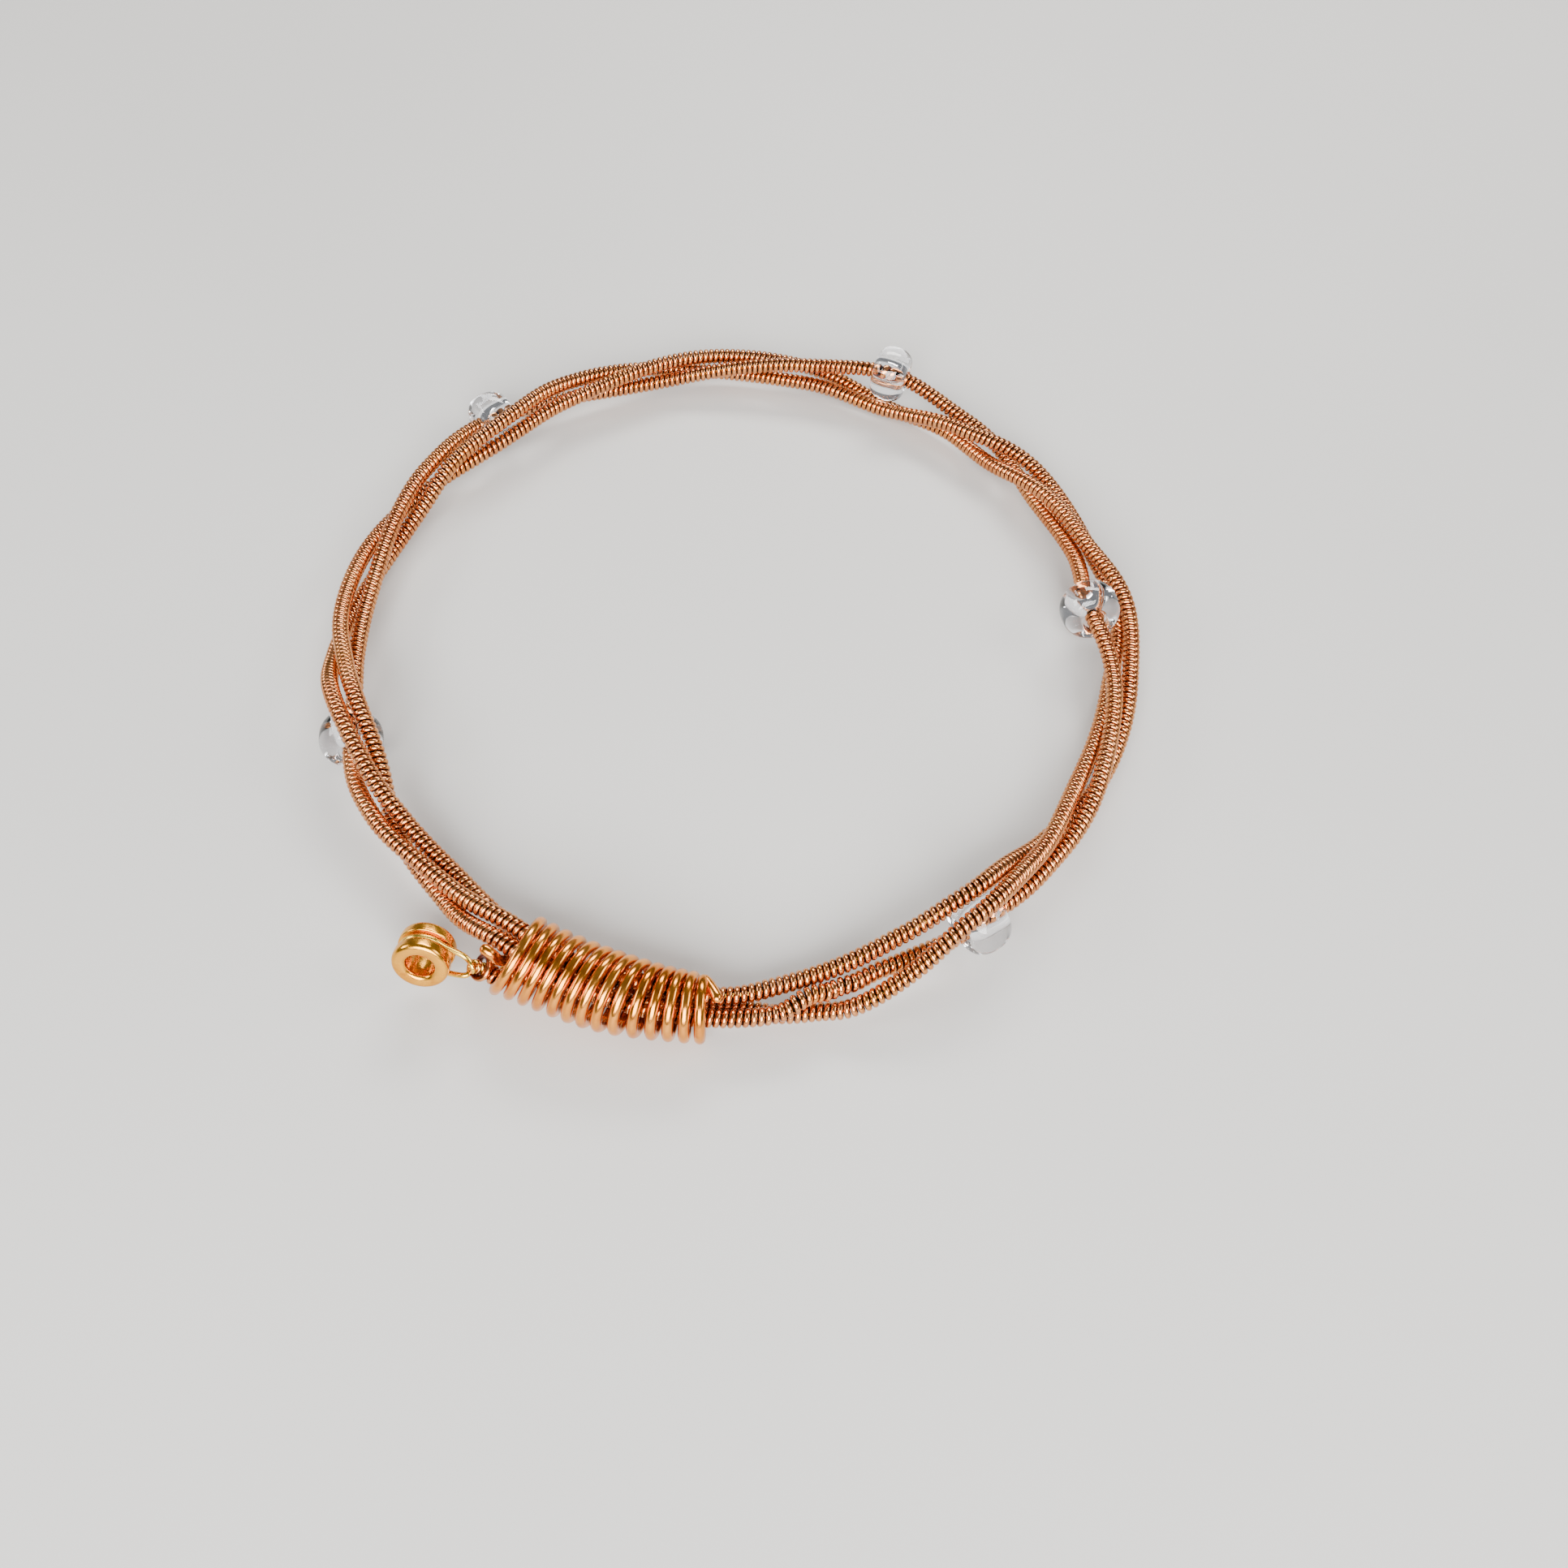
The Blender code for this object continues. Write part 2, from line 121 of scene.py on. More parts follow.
# Ball end: a brass spool whose axis points to the front, a little left and up.
BALL_CENTRE = (-23.3, -29.8, 3.9)
BALL_YAW = 8.0
BALL_PITCH = 20.0
BALL_DIAMETER = 4.15
BALL_LENGTH = 2.7
BALL_BORE = 2.0
BALL_MOUTH = 0.42
BALL_EDGE = 0.42
GROOVE_DIAMETER = 3.0
GROOVE_WIDTH = 0.8
GROOVE_EDGE = 0.14
BALL_SIDES = 80
BALL_EDGE_STEPS = 10

# The bare core wire: round the ball end's groove, two legs, then a twist that
# the lead's winding covers.  The legs start LEG_SPREAD further apart than the
# twist and close by a power, and the wire stops LOOP_STOP stations early.
LOOP_WIRE = 0.42
LOOP_SIDES = 12
LOOP_CLEARANCE = 0.02
LEAD_START = (-20.15, -30.6, 3.25)
LEAD_WAY = (1.0, 0.1, -0.25)
LEAD_STATIONS = 160
ARC_STATIONS = 90
LEG_STATIONS = 24
TWIST_RADIUS = 0.24
LEG_SPREAD = 0.2
LEG_SPREAD_FALL = 4
TWIST_TURNS = 2.0
LOOP_STOP = 10

# Binding wire: helix of loops round the ring (ring angle, radius, height,
# reach), where every loop stands (loop count, ring angle), and how far its
# plane leans over and swings aside (ring angle, two angles).
BINDING_DIAMETER = 0.82
BINDING_STATIONS = 40
BINDING_FIRST = -0.02
BINDING_LAST = 13.36
BINDING_RING = (
    (-30, 34.24, 3.29, 2.85), (-24, 34.29, 3.16, 2.67), (-17, 34.49, 3.0, 2.57),
    (-10, 34.55, 2.79, 2.26), (-4, 34.62, 2.55, 2.08),
)
BINDING_LAY = (
    (-0.3, -30.12), (3.2, -23.63), (4.2, -21.67), (8.2, -14.52), (9.2, -12.6),
    (12.2, -7.54), (13.7, -5.2),
)
BINDING_LEAN = ((-30, 21.2, 4.2), (-17, -0.1, -9.6), (-4, -2.6, 6.7))

# The wire's start: a stub lying on the string's start, then down between the
# third and first turns and round under the first (ring angle, radius, height).
STUB = (
    (-32.6, 35.5, 4.85), (-31.7, 35.5, 4.85), (-31.05, 35.5, 4.6), (-30.6, 35.4, 3.85),
    (-30.4, 34.95, 3.1), (-30.5, 34.57, 2.35), (-30.8, 34.72, 1.6), (-31.0, 35.35, 1.15),
    (-30.9, 36.1, 1.12), (-30.4, 36.75, 1.6),
)
STUB_STATIONS = 9
BINDING_SIDES = 16

# The wire's cut end: its place (ring angle, radius, height) and the way that
# it points (x, y, z).
TIP = (-4.0, 34.95, 4.45)
TIP_WAY = (0.2, -0.9, -0.35)
TIP_STATIONS = 20

# Both tips are rounded off over one radius, down to this squared share of it.
TIP_SHARE = 0.08

# The cut end is rough over this length, by this share of the radius, in waves
# of this many radians a millimetre.
CUT_LENGTH = 0.5
CUT_ROUGHNESS = 0.16
CUT_WAVES = 23.0

# The winding: a round wire coiled over the core.
STRING_RADIUS = 0.71
WIRE_RADIUS = 0.245
WINDING_PITCH = 0.515
WINDING_STATIONS = 14
WINDING_SIDES = 8
CENTRE_STEP = 0.1

# Unrolled ring angles between which every turn is wound.
TURN_SPANS = ((-31.75, 328.0), (328.0, 688.0), (688.0, 1057.0))

# The winding's start over the twisted core: place along the lead, radius of
# the coil's centre line, radius of its wire, pitch.
LEAD_COIL = (
    (0.05, 0.37, 0.1, 0.22), (0.6, 0.42, 0.11, 0.24), (0.72, 0.72, 0.2, 0.4),
    (0.85, 0.95, 0.24, 0.5), (1.1, 0.9, 0.24, 0.5), (1.3, 0.72, 0.24, 0.49), (1.6, 0.5, 0.24, 0.49),
)
LEAD_COIL_STEPS = 420
LEAD_COIL_SIDES = 10

# Beads: greatest radius and half length of each.
BEAD_SIZES = ((2.5, 1.65), (2.48, 1.62), (2.5, 1.6), (2.5, 1.66), (2.5, 1.64))
BEAD_SIDES = 64
OUTLINE_POINTS = 41

# Radius of the bore, how far outside it the faces start, and how much its
# lips are eased.  The two places are shares of the half length.
BEAD_HOLE = 0.93
BEAD_FACE = 0.3
BEAD_LIP = 0.12
LIP_PLACE = 0.97
BORE_PLACE = 0.88

# Powers below 1 that flatten a bead's outline, at the faces and at the rim.
FACE_FLATNESS = 0.85
RIM_FLATNESS = 0.8

# Any way that no path starts along, for the first side vector.
SIDE_HINT = (0.31, 0.17, 0.93)


def hermite(x, rows, column):
    """Smooth curve through one column of rows that are ordered by angle."""
    table = np.array(rows, float)
    knots = table[:, 0]
    values = table[:, column]
    slopes = np.gradient(values, knots)
    i = np.clip(np.searchsorted(knots, x) - 1, 0, len(knots) - 2)
    span = knots[i + 1] - knots[i]
    t = (x - knots[i]) / span
    first = (1 + 2 * t) * (1 - t) ** 2 * values[i]
    second = t * t * (3 - 2 * t) * values[i + 1]
    bend = t * (1 - t) ** 2 * slopes[i] - t * t * (1 - t) * slopes[i + 1]
    return first + second + span * bend


def unit(vector):
    """Vectors of length 1 along the given ones."""
    return vector / np.linalg.norm(vector, axis=-1, keepdims=True)


def outward(angle):
    """Unit vectors from the ring's centre towards ring angles."""
    turn = np.radians(angle)
    return np.stack([np.sin(turn), -np.cos(turn), 0 * turn], axis=-1)


def axis_rows():
    """Rows of the ring axis, with a few more on both sides of the full circle."""
    before = [(row[0] - 360,) + row[1:] for row in AXIS[-3:]]
    after = [(row[0] + 360,) + row[1:] for row in AXIS[:3]]
    return before + list(AXIS) + after


def string_rows():
    """Polar path of the whole string over its unrolled ring angle."""
    rows = []
    for turn, entry in enumerate(ENTRY):
        start = 360 * turn
        wind = TURN_WIND[turn]
        for angle, polar, reach in entry:
            rows.append((angle + start, polar + wind, reach))
        for angle, polar, reach in LAY + ((EXIT_ANGLE, EXIT_POLAR, EXIT_REACH[turn]),):
            rows.append((angle + start, polar + TURN_LAG[turn] + wind, reach))
    for angle, polar, reach in TAIL:
        rows.append((angle + 360 * len(ENTRY), polar + TAIL_WIND, reach))
    return rows


AXIS_ROWS = axis_rows()
STRING_ROWS = string_rows()


def around(angle, radius, height, polar, reach):
    """Points at a polar angle and reach about a ring of a radius and height."""
    flat = radius + reach * np.cos(polar)
    rise = height + reach * np.sin(polar)
    points = outward(angle) * flat[:, None]
    points[:, 2] = rise
    return points


def string_points(unrolled):
    """Centre of the string at unrolled ring angles.

    Beside a bead the threaded turn is pushed one way and the others the other.
    """
    angle = (unrolled - TURN_START) % 360 + TURN_START
    polar = np.radians(hermite(unrolled, STRING_ROWS, 1))
    reach = hermite(unrolled, STRING_ROWS, 2)
    radius = hermite(angle, AXIS_ROWS, 1)
    height = hermite(angle, AXIS_ROWS, 2)
    flat = radius + reach * np.cos(polar)
    rise = height + reach * np.sin(polar)
    part = np.zeros(len(angle))
    for bead in BEAD_ANGLES:
        near = np.clip(np.abs(angle - bead) / OPENING_REACH, 0, 1)
        part += OPENING / 2 * np.cos(np.pi / 2 * near) ** 2
    threaded = unrolled > THREADED_TURN + TURN_START
    push = np.radians(hermite(angle + THREADED_TURN, STRING_ROWS, 1))
    side = np.where(threaded, 1.0, -1.0) * part
    points = outward(angle) * (flat + side * np.cos(push))[:, None]
    points[:, 2] = rise + side * np.sin(push)
    return points


def smooth_path(start, start_way, end, end_way, stations):
    """Curve between two points that leaves and arrives along given ways."""
    t = np.linspace(0, 1, stations)[:, None]
    pull = np.linalg.norm(np.subtract(end, start))
    first = (1 + 2 * t) * (1 - t) ** 2 * np.array(start)
    second = t * t * (3 - 2 * t) * np.array(end)
    bend = t * (1 - t) ** 2 * np.array(start_way) - t * t * (1 - t) * np.array(end_way)
    return first + second + pull * bend


def carried_sides(path):
    """Tangents and side vectors carried along a path without twisting."""
    tangents = unit(np.gradient(path, axis=0, edge_order=2))
    side = np.cross(tangents[0], SIDE_HINT)
    sides = []
    for tangent in tangents:
        side = unit(side - tangent * (side @ tangent))
        sides.append(side)
    return tangents, np.array(sides)


def ball_way():
    """Unit vector along the ball end's axis."""
    yaw = np.radians(BALL_YAW)
    pitch = np.radians(BALL_PITCH)
    flat = np.cos(pitch)
    return np.array((-flat * np.sin(yaw), -flat * np.cos(yaw), np.sin(pitch)))


def lead_path():
    """Centre line from the legs' meeting point to the first turn's start."""
    start = TURN_SPANS[0][0]
    first_turn = string_points(np.array((start, start + 1.0)))
    heading = unit(first_turn[1] - first_turn[0])
    end = first_turn[0] - heading * END_GAP / 2
    return smooth_path(np.array(LEAD_START), unit(np.array(LEAD_WAY)), end, heading,
                       LEAD_STATIONS)


def loop_path(path):
    """Core wire: out through the lead, round the ball end's groove and back."""
    tangents, sides = carried_sides(path)
    third = np.cross(tangents, sides)
    way = ball_way()
    across = unit(np.cross((0.0, 0.0, 1.0), way))
    rise = np.cross(way, across)
    start = np.arctan2(rise @ third[0], rise @ sides[0])
    turn = np.linspace(start, start + 2 * np.pi * TWIST_TURNS, len(path))
    spin = np.cos(turn)[:, None] * sides + np.sin(turn)[:, None] * third
    inside = slice(0, len(path) - LOOP_STOP)
    apart = TWIST_RADIUS + LEG_SPREAD * np.linspace(1, 0, len(path)) ** LEG_SPREAD_FALL
    upper = (path + apart[:, None] * spin)[inside]
    lower = (path - apart[:, None] * spin)[inside]
    reach = GROOVE_DIAMETER / 2 + LOOP_WIRE / 2 + LOOP_CLEARANCE
    centre = np.array(BALL_CENTRE)
    crotch = path[0] - centre
    flat = np.array((crotch @ across, crotch @ rise))
    lean = np.arctan2(flat[1], flat[0])
    open_half = np.arccos(reach / np.hypot(*flat))
    angles = np.linspace(lean + open_half, lean + 2 * np.pi - open_half, ARC_STATIONS)
    circle = np.cos(angles)[:, None] * across + np.sin(angles)[:, None] * rise
    circle = centre + reach * circle
    upper_leg = smooth_path(circle[0], unit(circle[0] - circle[1]), upper[0],
                            unit(upper[1] - upper[0]), LEG_STATIONS)
    lower_leg = smooth_path(circle[-1], unit(circle[-1] - circle[-2]), lower[0],
                            unit(lower[1] - lower[0]), LEG_STATIONS)
    return np.concatenate([upper[::-1], upper_leg[-2:0:-1], circle, lower_leg[1:-1], lower])


def rounded(corners, steps):
    """Profile whose corners (height, radius, rounding) are eased by short curves."""
    points = [np.array(corner[:2], float) for corner in corners]
    eased = []
    for i, (corner, (_, _, ease)) in enumerate(zip(points, corners)):
        before = corner + ease * unit(points[i - 1] - corner)
        after = corner + ease * unit(points[(i + 1) % len(points)] - corner)
        for t in np.linspace(0, 1, steps if ease else 1):
            eased.append(before * (1 - t) ** 2 + 2 * t * (1 - t) * corner + after * t ** 2)
    return eased


def eased_points(corners, stations):
    """Smooth path through corner points, with stations between each pair."""
    table = [(i, *corner) for i, corner in enumerate(corners)]
    place = np.linspace(0, len(corners) - 1, (len(corners) - 1) * stations + 1)
    return np.stack([hermite(place, table, column) for column in (1, 2, 3)], axis=1)


def on_ring(places):
    """Points from rows of (ring angle, radius, height)."""
    points = outward(places[:, 0]) * places[:, 1:2]
    points[:, 2] = places[:, 2]
    return points


def binding_path():
    """Centre line of the binding wire: stub, loops and cut end."""
    stations = int((BINDING_LAST - BINDING_FIRST) * BINDING_STATIONS) + 1
    count = np.linspace(BINDING_FIRST, BINDING_LAST, stations)
    angle = hermite(count, BINDING_LAY, 1)
    polar = 2 * np.pi * count
    radius = hermite(angle, BINDING_RING, 1)
    height = hermite(angle, BINDING_RING, 2)
    reach = hermite(angle, BINDING_RING, 3)
    over = np.tan(np.radians(hermite(angle, BINDING_LEAN, 1)))
    aside = np.tan(np.radians(hermite(angle, BINDING_LEAN, 2)))
    lean = np.degrees(reach * (over * np.sin(polar) + aside * np.cos(polar)) / radius)
    helix = around(angle + lean, radius, height, polar, reach)
    first = np.degrees(np.arctan2(helix[0, 0], -helix[0, 1]))
    joined = STUB + ((first, np.hypot(*helix[0, :2]), helix[0, 2]),)
    start = on_ring(eased_points(joined, STUB_STATIONS))[:-1]
    tip = on_ring(np.array([TIP]))[0]
    end = smooth_path(helix[-1], unit(helix[-1] - helix[-2]), tip, unit(np.array(TIP_WAY)),
                      TIP_STATIONS)[1:]
    return np.concatenate([start, helix, end])


def ring_sides(path):
    """Tangents and side vectors that keep facing away from the ring's centre."""
    tangents = unit(np.gradient(path, axis=0, edge_order=2))
    radial = path * (1, 1, 0)
    sides = unit(radial - tangents * np.sum(radial * tangents, axis=1)[:, None])
    return tangents, sides


def add_mesh(name, vertices, faces, material, body=ROOT, layers=None):
    """Smooth-shaded piece that rides on a body and carries named point values."""
    mesh = bpy.data.meshes.new(name)
    placed = (np.asarray(vertices) + SHIFT) * MM
    mesh.from_pydata(placed.tolist(), [], faces)
    mesh.update()
    mesh.shade_smooth()
    for layer, values in (layers or {}).items():
        mesh.attributes.new(layer, "FLOAT", "POINT")
        mesh.attributes[layer].data.foreach_set("value", values.ravel())
    mesh.materials.append(material)
    piece = bpy.data.objects.new(name, mesh)
    bpy.context.scene.collection.objects.link(piece)
    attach(piece, body)
    return piece


def ring_faces(rings, count):
    """Quads of a tube of rings, each with the same count of vertices."""
    a = np.arange((rings - 1) * count).reshape(rings - 1, count)
    b = np.roll(a, -1, axis=1)
    return np.stack([a, b, b + count, a + count], axis=-1).reshape(-1, 4).tolist()


def wire_mesh(name, path, sides_of, radius, count, material, layers=None, ends=None):
    """Round wire along a path.  ends is each station's share of the radius."""
    tangents, across = sides_of
    third = np.cross(tangents, across)
    turn = np.linspace(0, 2 * np.pi, count, endpoint=False)
    ring = np.cos(turn)[None, :, None] * across[:, None, :]
    ring = ring + np.sin(turn)[None, :, None] * third[:, None, :]
    reach = np.broadcast_to(np.asarray(radius, float), (len(path),))
    if ends is not None:
        reach = reach * ends
    vertices = (path[:, None, :] + reach[:, None, None] * ring).reshape(-1, 3)
    faces = ring_faces(len(path), count)
    last = (len(path) - 1) * count
    faces.append(list(range(count))[::-1])
    faces.append([last + i for i in range(count)])
    return add_mesh(name, vertices, faces, material, layers=layers)


def wound_wire(name, path, out, radius, sides, material):
    """Coiled wire.  Its point value rim is 1 on the coil's outermost line."""
    ways = unit(np.gradient(path, axis=0))
    out = unit(out - ways * np.sum(out * ways, axis=1)[:, None])
    turn = np.linspace(0, 2 * np.pi, sides, endpoint=False)
    rim = np.tile(np.cos(turn), (len(path), 1))
    return wire_mesh(name, path, (ways, out), radius, sides, material, {"rim": rim})


def coiled(place, phase, coil, run, centre, frame_sides):
    """Path of a coil round a centre line, and the ways that point out of it."""
    tangents, across = frame_sides
    third = np.cross(tangents, across)
    middle, side, rise = (
        np.stack([np.interp(place, run, values[:, k]) for k in range(3)], axis=1)
        for values in (centre, across, third)
    )
    out = np.cos(phase)[:, None] * unit(side) - np.sin(phase)[:, None] * unit(rise)
    return middle + coil * out, out


# ---------------------------------------------------------------- materials

# Relief of the metals and of the glass, in metres.
WEAR_DEPTH = 0.00002
GLASS_CORD_DEPTH = 0.00006


class Shader:
    """Small helper that lays out the nodes of one material."""

    def __init__(self, name):
        self.material = bpy.data.materials.new(name)
        self.material.use_nodes = True
        self.tree = self.material.node_tree
        self.surface = self.tree.nodes["Principled BSDF"]

    def node(self, kind, **values):
        """New node of a kind, with some of its properties set."""
        made = self.tree.nodes.new(kind)
        for key, value in values.items():
            setattr(made, key, value)
        return made

    def link(self, source, target):
        self.tree.links.new(source, target)

    def noise(self, scale, detail, rough=0.5):
        """Noise in the object's own space, from 0 to 1."""
        place = self.node("ShaderNodeTexCoord")
        made = self.node("ShaderNodeTexNoise")
        made.inputs["Scale"].default_value = scale
        made.inputs["Detail"].default_value = detail
        made.inputs["Roughness"].default_value = rough
        self.link(place.outputs["Object"], made.inputs["Vector"])
        return made.outputs["Fac"]

    def point_value(self, name):
        """Value that the mesh carries on its points."""
        return self.node("ShaderNodeAttribute", attribute_name=name).outputs["Fac"]

    def remap(self, value, low, high, to_low, to_high):
        """The value's range from low to high, spread over another range."""
        made = self.node("ShaderNodeMapRange")
        for key, number in zip(("From Min", "From Max", "To Min", "To Max"),
                               (low, high, to_low, to_high)):
            made.inputs[key].default_value = number
        self.link(value, made.inputs["Value"])
        return made.outputs["Result"]

    def ramp(self, value, stops):
        """Colours blended between stops of (place, colour)."""
        made = self.node("ShaderNodeValToRGB")
        points = made.color_ramp.elements
        while len(points) < len(stops):
            points.new(0.5)
        for point, (place, colour) in zip(points, stops):
            point.position = place
            point.color = (*colour, 1.0)
        self.link(value, made.inputs["Fac"])
        return made.outputs["Color"]

    def mix(self, share, first, second, blend="MIX"):
        """Two colours blended by a share, which is a number or a node's value."""
        made = self.node("ShaderNodeMix", data_type="RGBA", blend_type=blend)
        if isinstance(share, float):
            made.inputs["Factor"].default_value = share
        else:
            self.link(share, made.inputs["Factor"])
        self.link(first, made.inputs["A"])
        self.link(second, made.inputs["B"])
        return made.outputs["Result"]

    def bump(self, height, strength, distance):
        """Relief on the surface, where distance is its depth in metres."""
        made = self.node("ShaderNodeBump")
        made.inputs["Strength"].default_value = strength
        made.inputs["Distance"].default_value = distance
        self.link(height, made.inputs["Height"])
        self.link(made.outputs["Normal"], self.surface.inputs["Normal"])


def winding_material():
    """Phosphor bronze: copper crests and flanks, with painted shade darkening the grooves between the
    coils.
    """
    s = Shader("winding_bronze_wound")
    crest = s.ramp(s.noise(170, 3), ((0.3, (0.72, 0.27, 0.09)), (0.52, (0.82, 0.37, 0.14)),
                                      (0.72, (0.76, 0.31, 0.08))))
    fleck = s.ramp(s.noise(800, 3), ((0.35, (0.7, 0.4, 0.25)), (0.6, (1.0, 0.95, 0.9))))
    worn = s.mix(0.6, crest, s.mix(0.6, crest, fleck, "MULTIPLY"))
    # Painted shade: a near-black colour where the coils meet, mixed in by the rim value so that each
    # coil's flanks darken towards the grooves.
    groove = s.ramp(s.noise(900, 2), ((0.3, (0.06, 0.008, 0.003)), (0.7, (0.2, 0.035, 0.01))))
    depth = s.remap(s.point_value("rim"), 0.25, 0.93, 0.0, 1.0)
    s.link(s.mix(depth, groove, worn), s.surface.inputs["Base Color"])
    s.surface.inputs["Metallic"].default_value = 1.0
    rough = s.remap(s.noise(700, 2), 0.3, 0.7, 0.15, 0.25)
    s.link(rough, s.surface.inputs["Roughness"])
    s.bump(s.noise(7000, 2), 0.06, WEAR_DEPTH)
    return s.material


def wire_material(name, light, middle, dark, low, high, bump=0.2):
    """Plain drawn or turned metal: drifting colour, stains, fine marks and wear."""
    s = Shader(name)
    drift = s.ramp(s.noise(260, 3), ((0.3, middle), (0.5, light), (0.72, middle)))
    stain = s.ramp(s.noise(900, 4, 0.6), ((0.34, dark), (0.5, (1.0, 1.0, 1.0))))
    share = s.remap(s.noise(700, 2), 0.35, 0.7, 0.15, 0.85)
    s.link(s.mix(share, drift, s.mix(share, drift, stain, "MULTIPLY")), s.surface.inputs["Base Color"])
    s.surface.inputs["Metallic"].default_value = 1.0
    s.link(s.remap(s.noise(2300, 4), 0.3, 0.7, low, high), s.surface.inputs["Roughness"])
    s.bump(s.noise(2600, 3, 0.6), bump, WEAR_DEPTH)
    return s.material


def glass_material(name, tint):
    """Clear pressed glass with faint cords and a slightly worn polish."""
    s = Shader(name)
    colour = s.ramp(s.noise(420, 2), ((0.3, tint), (0.7, (0.99, 0.99, 1.0))))
    s.link(colour, s.surface.inputs["Base Color"])
    s.surface.inputs["Transmission Weight"].default_value = 1.0
    s.surface.inputs["IOR"].default_value = 1.52
    s.link(s.remap(s.noise(1200, 3), 0.35, 0.75, 0.0, 0.045), s.surface.inputs["Roughness"])
    s.bump(s.noise(900, 2), 0.12, GLASS_CORD_DEPTH)
    return s.material


def floor_material():
    """Pale matt floor, with a faint drift of tone."""
    s = Shader("pale_floor")
    s.link(s.ramp(s.noise(9, 3), ((0.3, (0.5, 0.495, 0.485)), (0.7, (0.54, 0.535, 0.525)))),
           s.surface.inputs["Base Color"])
    s.surface.inputs["Roughness"].default_value = 0.55
    return s.material


# ---------------------------------------------------------------- camera and light

# Camera places in the ring's millimetres, lens and sensor in millimetres,
# clipping in metres.
CAMERA_PLACE = (0.0, -74.76, 92.87)
CAMERA_AIM = (3.11, -15.79, 2.6)
CAMERA_LENS = 31.68
SENSOR_WIDTH = 36.0
CLIP_NEAR = 0.001
CLIP_FAR = 10.0

# Softboxes, which all face the origin: name, place, size, power, colour.
SOFTBOXES = (
    ("key_front", (-0.04, -0.38, 0.27), (0.4, 0.32), 7.5, (1.0, 0.99, 0.97)),
    ("key_back", (0.08, 0.3, 0.27), (0.26, 0.1), 1.6, (1.0, 0.97, 0.93)),
    ("left_soft", (-0.34, 0.02, 0.2), (0.24, 0.1), 0.8, (1.0, 0.98, 0.95)),
    ("right_soft", (0.34, -0.04, 0.24), (0.24, 0.1), 0.8, (1.0, 0.98, 0.95)),
)
WORLD_COLOUR = (0.8, 0.82, 0.85, 1.0)
WORLD_STRENGTH = 0.26
FLOOR_REACH = 2.5


def place_of(point):
    """Scene place in metres of a point given in the ring's own millimetres."""
    return Vector((np.array(point) + SHIFT) * MM)


def facing(look):
    """Rotation of a camera or light that looks along a vector."""
    return look.to_track_quat("-Z", "Y").to_euler()


def add_camera():
    """Camera at the photograph's viewing angle."""
    data = bpy.data.cameras.new("camera")
    data.lens = CAMERA_LENS
    data.sensor_width = SENSOR_WIDTH
    data.clip_start = CLIP_NEAR
    data.clip_end = CLIP_FAR
    camera = bpy.data.objects.new("camera", data)
    bpy.context.scene.collection.objects.link(camera)
    camera.location = place_of(CAMERA_PLACE)
    camera.rotation_euler = facing(place_of(CAMERA_AIM) - place_of(CAMERA_PLACE))
    bpy.context.scene.camera = camera


def add_softbox(name, place, size, power, colour):
    """Area light that faces the origin."""
    data = bpy.data.lights.new(name, "AREA")
    data.shape = "RECTANGLE"
    data.size, data.size_y = size
    data.energy = power
    data.color = colour
    light = bpy.data.objects.new(name, data)
    bpy.context.scene.collection.objects.link(light)
    light.location = place
    light.rotation_euler = facing(-Vector(place))


def add_world():
    """Even, dim surroundings."""
    world = bpy.data.worlds.new("studio")
    world.use_nodes = True
    back = world.node_tree.nodes["Background"]
    back.inputs["Color"].default_value = WORLD_COLOUR
    back.inputs["Strength"].default_value = WORLD_STRENGTH
    bpy.context.scene.world = world


def add_floor():
    """Plain square floor under the bangle."""
    mesh = bpy.data.meshes.new("floor")
    reach = FLOOR_REACH
    corners = [(-reach, -reach, 0), (reach, -reach, 0), (reach, reach, 0), (-reach, reach, 0)]
    mesh.from_pydata(corners, [], [(0, 1, 2, 3)])
    mesh.materials.append(floor_material())
    floor = bpy.data.objects.new("floor", mesh)
    bpy.context.scene.collection.objects.link(floor)


# ---------------------------------------------------------------- pieces


def run_along(path):
    """Length of the path from its start to each of its points."""
    step = np.linalg.norm(np.diff(path, axis=0), axis=1)
    return np.concatenate([[0.0], np.cumsum(step)])


def build_windings(material):
    """The winding of the three turns, every coil of it."""
    for number, (start, end) in enumerate(TURN_SPANS, 1):
        centre = string_points(np.arange(start, end + CENTRE_STEP / 2, CENTRE_STEP))
        run = run_along(centre)
        turns = run[-1] / WINDING_PITCH
        phase = np.linspace(0, turns * 2 * np.pi, int(turns * WINDING_STATIONS))
        place = phase / (2 * np.pi) * WINDING_PITCH
        wire, out = coiled(place, phase, STRING_RADIUS - WIRE_RADIUS, run, centre, ring_sides(centre))
        piece = wound_wire(f"wound_turn_{number}", wire, out, WIRE_RADIUS, WINDING_SIDES, material)
        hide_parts(f"winding_turn_{number}")


def build_lead(path, material):
    """Small first coils, then two loose, wide ones that draw in to the string."""
    run = run_along(path)
    table = np.array(LEAD_COIL)
    place = np.linspace(table[0, 0], run[-1], LEAD_COIL_STEPS)
    coil, thick, pitch = (np.interp(place, table[:, 0], table[:, k]) for k in (1, 2, 3))
    phase = np.concatenate([[0.0], np.cumsum(np.diff(place) * 2 * np.pi / pitch[1:])])
    wire, out = coiled(place, phase, coil[:, None], run, path, carried_sides(path))
    piece = wound_wire("wound_lead", wire, out, thick, LEAD_COIL_SIDES, material)
    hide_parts("winding_lead")


def build_loop(path, material):
    """Core wire out of the twist, round the ball end's groove and back."""
    wire = loop_path(path)
    piece = wire_mesh("bare_loop", wire, carried_sides(wire), LOOP_WIRE / 2, LOOP_SIDES,
                      material)
    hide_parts("ball_loop")


